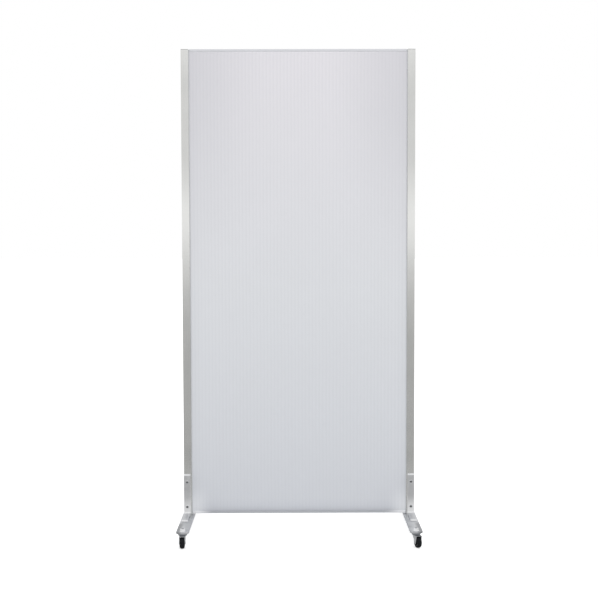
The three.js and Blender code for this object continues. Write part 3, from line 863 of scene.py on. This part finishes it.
def middle_of(node):
    """The middle of a node's box, in millimetres."""
    lo, hi = corners_mm(node)
    return (lo + hi) / 2


def coned(af, rim, top, sign):
    """A hexagon's wall where the cone cuts it: height falls by slope times the way past the rim."""
    def at(a):
        r = hex_radius(a, af)
        return r, top - sign * CONE_SLOPE * np.maximum(r - rim, 0)
    return at


def hexagon(af, height):
    """A hexagon at one height."""
    return lambda a: (hex_radius(a, af), height + 0 * a)


def socket_walls(mouth_af, mouth, edge, floor):
    """A hex socket's chamfered mouth, its walls, and a floor that falls to a point."""
    walls = [hexagon(mouth_af, mouth), hexagon(SOCKET_AF, edge), hexagon(SOCKET_AF, floor)]
    return [*walls, (0, floor + SOCKET_TIP)]


def bolt_skin(lo, hi):
    """Shank, a dome that falls with the square of the radius, and the socket. The tip is at lo."""
    seat = lo + HEAD_H
    dome = [(HEAD_R * s, lo + DOME_H * s ** 2) for s in np.linspace(1, 0.5, 7)]
    return turned([
        (0, hi), (BOLT_R - BOLT_POINT, hi), (BOLT_R, hi - BOLT_POINT), (BOLT_R, seat),
        (HEAD_R - 0.3, seat), (HEAD_R, seat - 0.3), *dome,
        *socket_walls(SOCKET_AF + 0.5, lo + 0.12, lo + 0.5, lo + SOCKET_DEPTH),
    ], HEX_SIDES, axis=1)


def nut_skin(lo, hi):
    """Up the bore, out to the cone's rim, down the flats and back under."""
    rim, mouth = NUT_AF / 2 * CONE_SHARE, NUT_BORE + SOFT
    return turned([
        (NUT_BORE, lo + SOFT), (NUT_BORE, hi - SOFT), (mouth, hi), (rim, hi),
        coned(NUT_AF, rim, hi, 1), coned(NUT_AF, rim, lo, -1), (rim, lo), (mouth, lo),
    ], HEX_SIDES, axis=1, closed=True)


def flanged_skin(lo, hi):
    """A nut that grows from a sloped flange."""
    rim = STEM_NUT_AF / 2 * CONE_SHARE
    return turned([
        (STEM_BORE, lo), (STEM_BORE, hi - SOFT), (STEM_BORE + SOFT, hi), (rim, hi),
        coned(STEM_NUT_AF, rim, hi, 1), hexagon(STEM_NUT_AF, lo + FLANGE_H + 0.4),
        (FLANGE_R * 0.86, lo + FLANGE_H - 0.3), (FLANGE_R - 0.3, lo + 1.3), (FLANGE_R, lo + 0.9),
        (FLANGE_R, lo + 0.3), (FLANGE_R - 0.3, lo),
    ], HEX_SIDES, closed=True)


def screw_skin(lo, hi):
    """A flat head with a hex socket, coned down to its shank."""
    return turned([
        (0, hi), (BOLT_R - BOLT_POINT, hi), (BOLT_R, hi - BOLT_POINT), (BOLT_R, lo + SCREW_HEAD_H),
        (SCREW_HEAD_R, lo + 0.4), (SCREW_HEAD_R, lo),
        *socket_walls(SOCKET_AF + 0.6, lo, lo + 0.4, lo + SCREW_SOCKET_DEPTH),
    ], HEX_SIDES)


def fastener(node, zinc, axis, shape):
    """A shape made between the node's ends along an axis, set at its middle in the other two."""
    lo, hi = corners_mm(node)
    by = middle_of(node)
    by[axis] = 0
    piece(node, "frame", "fastener", zinc, moved(shape(lo[axis], hi[axis]), by=by))


SOCKET_FULL, SOCKET_REACH = 0.00392, 0.0056  # metres from a bolt's axis
# The strength and tone of the painted shade in and round the bolts' sockets.
SOCKET_SHADE, SOCKET_SHADE_TONE = 0.92, (40, 41, 44)


def shade_sockets(made):
    """Painted shade darkens each bolt's socket and the head round it, by the distance from the nearer
    bolt's axis.
    """
    tree = made.node_tree
    x, _, z = object_axes(tree)
    bolts = [middle_of(f"through_bolt_right_{i}") * TO_METRES for i in (1, 2)]
    aside = math_node(tree, "SUBTRACT", size_of(tree, x), float(bolts[0][0]))
    heights = [size_of(tree, math_node(tree, "SUBTRACT", z, float(bolt[2]))) for bolt in bolts]
    up = math_node(tree, "MINIMUM", *heights)
    squares = math_node(tree, "MULTIPLY_ADD", aside, aside, times(tree, up, up))
    away = math_node(tree, "SQRT", squares)
    near = ranged(tree, away, SOCKET_SHADE, 0.0, SOCKET_FULL, SOCKET_REACH, smooth=True)
    painted_over(made, near, SOCKET_SHADE_TONE, bare=False)
    return made


BOLT_ZINC = shade_sockets(grained(
    "bolt_zinc", (196, 199, 203), (232, 233, 233), (0.22, 0.36), 0.00002, 300.0, 180.0))
for side_name, side in SIDES:
    for i in (1, 2):
        fastener(f"through_bolt_{side_name}_{i}", BOLT_ZINC, 1, bolt_skin)
        fastener(f"through_nut_{side_name}_{i}", FASTENER_ZINC, 1, nut_skin)
    for face_name, face in FACES:
        fastener(f"foot_screw_{face_name}_{side_name}", FASTENER_ZINC, 2, screw_skin)
        fastener(f"stem_nut_{face_name}_{side_name}", NUT_ZINC_HIGHLIT, 2, flanged_skin)
print("fasteners", sum("bolt" in n or "nut" in n or "screw" in n for n, _ in pieces_made))

# %% [markdown]
# ## Casters: the fixed part and the bearing
#
# A caster's stem goes up through the foot. Below the foot it spreads to a race with a skirt, and
# a riveted pin under it holds the fork, with balls in the gap between. All of the stem is one
# turned profile. A thin cage ring runs through the balls.

# %% Stems and balls
STEM_SIDES = 64
STEM_R, RACE_R, SKIRT_T, KINGPIN_R, RIVET_R = 6.0, 20.0, 1.8, 5.5, 8.0
RACE_TOP, RACE_UNDER, SKIRT_END = 61.7, 58.7, 56.5
RIVET_TOP, RIVET_END = 52.2, 50.2
THREAD_FROM, THREAD_STEP, THREAD_DEPTH = 70.6, 0.5, 0.35
BALL_R, TRACK_R, BALL_COUNT, CAGE_HALF_W, CAGE_HALF_T = 1.8, 12.0, 18, 1.3, 0.4
CROWN_TOP, CROWN_UNDER = 54.5, 52.5


def stem_profile(top):
    """Radius against height from the rivet's tip, up the skirt and race, to the thread's end."""
    threads = [
        (STEM_R - THREAD_DEPTH * (k % 2), THREAD_FROM + THREAD_STEP * k)
        for k in range(int((top - THREAD_FROM - STEM_R * 0.25) / THREAD_STEP))
    ]
    inside = RACE_R - SKIRT_T
    return [
        (0, RIVET_END), (RIVET_R - 1.4, RIVET_END), (RIVET_R - 0.4, RIVET_END + SOFT),
        (RIVET_R, RIVET_TOP - SOFT), (RIVET_R - 0.2, RIVET_TOP), (KINGPIN_R, RIVET_TOP),
        (KINGPIN_R, RACE_UNDER), (inside - 1.0, RACE_UNDER), (inside, RACE_UNDER - 1.0),
        (inside, SKIRT_END), (RACE_R - 0.2, SKIRT_END), (RACE_R, SKIRT_END + 0.3),
        (RACE_R, RACE_TOP - 1.6), (RACE_R - SOFT, RACE_TOP - SOFT), (RACE_R - 1.6, RACE_TOP),
        (STEM_R, RACE_TOP), *threads, (STEM_R - 1.2, top), (0, top),
    ]


def ball_skins():
    """Spheres round the track, made as one array, and a flat cage ring."""
    sphere = turned([
        (BALL_R * math.sin(t), -BALL_R * math.cos(t)) for t in np.linspace(0, np.pi, 9)
    ], 14)
    middle = (CROWN_TOP + RACE_UNDER) / 2
    turns = np.linspace(0, 2 * np.pi, BALL_COUNT, endpoint=False)
    balls = [moved(sphere, by=(TRACK_R * math.cos(t), TRACK_R * math.sin(t), middle)) for t in turns]
    centre, half = np.array([TRACK_R, middle]), np.array([CAGE_HALF_W, CAGE_HALF_T])
    return [*balls, turned(box_section(centre - half, centre + half), HEX_SIDES, closed=True)]


# %% [markdown]
# ## Casters: the fork
#
# The fork is pressed from one sheet of steel: a crown with a leg bent down on each side. Seen along
# the wheel's travel it is an upside-down U, and the legs' lower edge runs from the crown down round
# the axle's eye and up again. So the surface is that U, with its feet at the height that the side
# view gives, carried along the travel. A round crown disc lies over it.

# %% The fork
FORK_HALF, FORK_INNER, FORK_BEND, INNER_BEND = 13.0, 11.0, 2.6, 0.6
WHEEL_R, TRAIL, EYE_R, NOSE, BACK, CHEEK, CROWN_R = 25.0, 20.0, 8.0, 13.0, 9.0, 4.0, 18.5
EYE_FROM = 0.12  # radians below the level of the axle
CROWN_SKIN = 0.05  # the crown disc over the bent sheet, above and below


def fork_edge():
    """The legs' lower edge, from behind the swivel to the nose: lines to an arc round the eye."""
    turn = np.linspace(EYE_FROM, np.pi - EYE_FROM, 22)
    eye = np.stack([-TRAIL + EYE_R * np.cos(turn), WHEEL_R - EYE_R * np.sin(turn)], 1)
    start = (BACK, CROWN_UNDER - 1.5)
    chin, nose = (-TRAIL - NOSE + 0.6, CROWN_UNDER - CHEEK), (-TRAIL - NOSE, CROWN_UNDER - CHEEK + 1.2)
    down, up = np.linspace(start, eye[0], 10)[:-1], np.linspace(eye[-1], chin, 6)[1:]
    return np.concatenate([down, eye, up, [nose]])


def u_section(foot_z):
    """The bent sheet's section in X and Z: outside up and over, then back inside, feet at foot_z."""
    a = np.linspace(0, np.pi / 2, 5)
    bend = np.stack([1 - np.cos(a), np.sin(a)], 1)
    out = np.array([-FORK_HALF, CROWN_TOP - FORK_BEND]) + FORK_BEND * bend
    inn = np.array([-FORK_INNER, CROWN_UNDER - INNER_BEND]) + INNER_BEND * bend
    left = np.concatenate([[[-FORK_HALF, foot_z]], out])
    under = np.concatenate([[[-FORK_INNER, foot_z]], inn])
    flip = np.array([-1, 1])
    return np.concatenate([left, (left * flip)[::-1], under * flip, under[::-1]])


def fork_skins():
    """The U carried along the travel with its feet at the edge's height, and the crown disc."""
    legs = lofted([in_space(u_section(z), y, 1) for y, z in fork_edge()])
    bore, under, over = KINGPIN_R + 0.3, CROWN_UNDER - CROWN_SKIN, CROWN_TOP + CROWN_SKIN
    crown = turned([
        (bore, under), (CROWN_R - SOFT, under), (CROWN_R, CROWN_UNDER + SOFT),
        (CROWN_R, CROWN_TOP - 0.6), (CROWN_R - 0.6, over), (bore, over),
    ], STEM_SIDES, closed=True)
    return [legs, crown]


# %% [markdown]
# ## Casters: axle, core and tyre
#
# The axle is a pin headed over at both ends. The core is moulded: a hub on the pin, a thin web and
# a rim with soft inner corners. The tyre has a slightly crowned tread that just touches the floor.

# %% The wheel
WHEEL_SIDES = 72
AXLE_R, AXLE_HEAD_R, AXLE_HEAD_H = 4.0, 6.0, 1.4
HUB_R, HUB_HALF, WEB_HALF, RIM_HALF, RIM_R, CORE_R = 7.5, 10.5, 2.5, 8.5, 14.0, 17.0
TYRE_BORE, TYRE_HALF = 17.3, 10.0


def axle_profile():
    """Half a profile with a domed head, and the other half reflected."""
    leg = FORK_HALF + 0.3
    dome = [(AXLE_HEAD_R * math.cos(t), leg + 0.5 + (AXLE_HEAD_H - 0.5) * math.sin(t))
            for t in np.linspace(0, np.pi / 2, 6)]
    half = [(AXLE_R, leg), (AXLE_HEAD_R, leg), *dome]
    return [(r, -h) for r, h in half[::-1]] + half


def core_profile():
    """Hub, web and rim: the sharp section's corners become arcs."""
    half = [
        (AXLE_R + 0.3, HUB_HALF), (HUB_R, HUB_HALF), (HUB_R - 0.3, WEB_HALF), (RIM_R + 0.4, WEB_HALF),
        (RIM_R, RIM_HALF), (CORE_R, RIM_HALF),
    ]
    sharp = half + [(r, -h) for r, h in half[::-1]]
    soft = [0.3, 0.6, 1.4, 1.4, 0.5, 0.3]
    return rounded(sharp, soft + soft[::-1], 4).tolist()


def tyre_profile():
    """Side walls that bulge to the full width, shoulders, and a tread that crowns to the radius."""
    half = [
        (TYRE_BORE, RIM_HALF), (TYRE_BORE + 0.6, RIM_HALF + 0.9), (TYRE_BORE + 2.2, TYRE_HALF - 0.1),
        (TYRE_BORE + 3.6, TYRE_HALF), (TYRE_BORE + 4.8, TYRE_HALF - 0.9),
        (WHEEL_R - 1.7, TYRE_HALF - 2.8), (WHEEL_R - 0.8, TYRE_HALF - 4.8),
        (WHEEL_R - 0.2, TYRE_HALF - 7.2), (WHEEL_R, 0.9),
    ]
    return half + [(r, -h) for r, h in half[::-1]]


def chaikin(profile):
    """Corner cutting on a closed line: each side keeps its quarter and three-quarter points."""
    p = np.asarray(profile, float)
    after = np.roll(p, -1, 0)
    return np.stack([0.75 * p + 0.25 * after, 0.25 * p + 0.75 * after], 1).reshape(-1, 2)


# %% Build the casters
def joint_at(name):
    """A joint's place in millimetres and its axis."""
    found = next(j for j in frame["joints"] if j["name"] == name)
    return np.array(found["pos_m"]) * 1000, found["axis"]


AXLE = turned(axle_profile(), 40, axis=0)
CORE = turned(core_profile(), WHEEL_SIDES, axis=0, closed=True)
TYRE = turned(chaikin(tyre_profile()).tolist(), WHEEL_SIDES, axis=0, closed=True)
BALLS = ball_skins()
FORK = fork_skins()
for side_name, side in SIDES:
    for face_name, face in FACES:
        place = f"{face_name}_{side_name}"
        swivel, _ = joint_at(f"swivel_turn_{place}")
        hub, across = joint_at(f"wheel_spin_{place}")
        turn = math.atan2(across[1], across[0])
        pivot = (swivel[0], swivel[1], 0)
        stem = turned(stem_profile(corners_mm(f"caster_stem_{place}")[1][2]), STEM_SIDES)
        piece(f"caster_stem_{place}", "frame", "caster_metal", CASTER_ZINC_SHADED, moved(stem, by=pivot))
        for node, skins, zinc in (("ball_ring", BALLS, CASTER_ZINC_SHADED), ("fork", FORK, FORK_ZINC)):
            placed = [moved(skin, turn, pivot) for skin in skins]
            piece(f"{node}_{place}", f"swivel_{place}", "caster_metal", zinc, *placed)
        axle, core, tyre = (moved(skin, turn, hub) for skin in (AXLE, CORE, TYRE))
        piece(f"axle_{place}", f"swivel_{place}", "caster_metal", FASTENER_ZINC, axle)
        piece(f"wheel_core_{place}", f"wheel_{place}", "wheel_core", CORE_PLASTIC, core)
        piece(f"tyre_{place}", f"wheel_{place}", "tyre", TYRE_RUBBER, tyre)
print("pieces", len(pieces_made), "faces", sum(n for _, n in pieces_made))

# %% [markdown]
# ## Floor, room and light
#
# The photograph's ground is plain white, so the world is white wherever the camera, a mirror or
# glass looks at it, and lights the object softly. A wide lamp above, a little to the front, brightens
# the slanted bracket ends and the sheet's top. Metal shows what stands around it, so a studio wall
# that reflections alone see puts the soft bands on the posts.

# %% World
WORLD_LIGHT = 0.93


def make_world():
    """Strength 1 for camera, glossy and transmission rays, and the light's own level for the rest."""
    world = bpy.data.worlds.new("white_room")
    world.use_nodes = True
    tree = world.node_tree
    path = tree.nodes.new("ShaderNodeLightPath")
    seen = math_node(tree, "MAXIMUM", path.outputs["Is Camera Ray"], path.outputs["Is Glossy Ray"])
    seen = math_node(tree, "MAXIMUM", seen, path.outputs["Is Transmission Ray"])
    ground = tree.nodes["Background"]
    ground.inputs["Color"].default_value = (1, 1, 1, 1)
    tree.links.new(ranged(tree, seen, WORLD_LIGHT, 1.0), ground.inputs["Strength"])
    scene.world = world


make_world()
scene.view_settings.view_transform = "Standard"

# %% Lamps
LAMP_AT, LAMP_SIZE, LAMP_POWER, LAMP_TIP = (0.9, -1.2, 5.2), 4.5, 62.0, math.radians(-8)
light = bpy.data.lights.new("overhead", "AREA")
light.size, light.energy = LAMP_SIZE, LAMP_POWER
lamp = bpy.data.objects.new("overhead", light)
lamp.location, lamp.rotation_euler = LAMP_AT, (LAMP_TIP, 0, 0)
lamp.visible_glossy = False  # its mirror image would outshine the wall's
scene.collection.objects.link(lamp)

# %% Floor and reflected wall
FLOOR_HALF, FLOOR_TONE, FLOOR_GLOW = 60.0, 0.93, 0.42
WALL_R, WALL_SIDES, WALL_STRENGTH = 8.0, 64, 1.1
# How bright the wall is at each height in metres. Its floor and lowest band serve views from above,
# the pale band over them shows in the brackets' bends, and what is over that in the posts: a dark
# apron, a bright window band above eye height and two soft ceiling bands.
WALL_BY_HEIGHT = [
    (-2.6, 0.55), (-2.25, 0.62), (-1.98, 0.88), (-1.75, 0.56), (-1.45, 0.31), (-0.6, 0.43),
    (-0.1, 0.40), (0.35, 0.44), (0.85, 0.56), (1.06, 0.68), (1.3, 0.84), (1.55, 0.97), (1.72, 0.95),
    (1.9, 0.70), (2.2, 0.61), (2.55, 0.70), (2.9, 0.59), (3.6, 0.76),
]
WALL_LOW, WALL_HIGH = WALL_BY_HEIGHT[0][0], WALL_BY_HEIGHT[-1][0]


def stage_piece(name, points, faces, finish):
    """A staged object from points and faces in metres."""
    mesh = bpy.data.meshes.new(name)
    mesh.from_pydata(np.asarray(points).tolist(), [], faces)
    mesh.materials.append(finish)
    made = bpy.data.objects.new(name, mesh)
    scene.collection.objects.link(made)
    return made


def floor_finish():
    """Pale and matt, with a touch of its own light to the camera so that open floor is white."""
    made, tree, shader, _ = new_finish("pale_floor", specular=0.0)
    shader.inputs["Base Color"].default_value = (FLOOR_TONE, FLOOR_TONE, FLOOR_TONE, 1)
    shader.inputs["Roughness"].default_value = 1.0
    shader.inputs["Emission Color"].default_value = (1, 1, 1, 1)
    glow = ranged(tree, tree.nodes.new("ShaderNodeLightPath").outputs["Is Camera Ray"], 0.0, FLOOR_GLOW)
    tree.links.new(glow, shader.inputs["Emission Strength"])
    return made


def wall_finish():
    """Light by height and nothing else."""
    made = bpy.data.materials.new("studio_wall")
    made.use_nodes = True
    tree = made.node_tree
    tree.nodes.clear()
    out = tree.nodes.new("ShaderNodeOutputMaterial")
    light = tree.nodes.new("ShaderNodeEmission")
    tree.links.new(light.outputs[0], out.inputs[0])
    stops = [(height, (level, level, level, 1)) for height, level in WALL_BY_HEIGHT]
    light.inputs["Strength"].default_value = WALL_STRENGTH
    tree.links.new(by_stops(tree, object_axes(tree)[2], stops, WALL_LOW, WALL_HIGH), light.inputs[0])
    return made


corners = np.array(box_section((-FLOOR_HALF, -FLOOR_HALF), (FLOOR_HALF, FLOOR_HALF)))
floor = stage_piece("floor", in_space(corners, 0, 2), [(0, 1, 2, 3)], floor_finish())
floor.visible_glossy = False
around = np.linspace(0, 2 * np.pi, WALL_SIDES, endpoint=False)
circle = WALL_R * np.stack([np.cos(around), np.sin(around)], 1)
rings = np.concatenate([in_space(circle, height, 2) for height in (WALL_LOW, WALL_HIGH)])
quads = grid_quads(2, WALL_SIDES, round_cols=True).tolist() + [list(range(WALL_SIDES))]
wall = stage_piece("wall", rings, quads, wall_finish())
for sight in ("camera", "diffuse", "transmission", "shadow", "volume_scatter"):
    setattr(wall, "visible_" + sight, False)
print("stage", floor.name, wall.name)
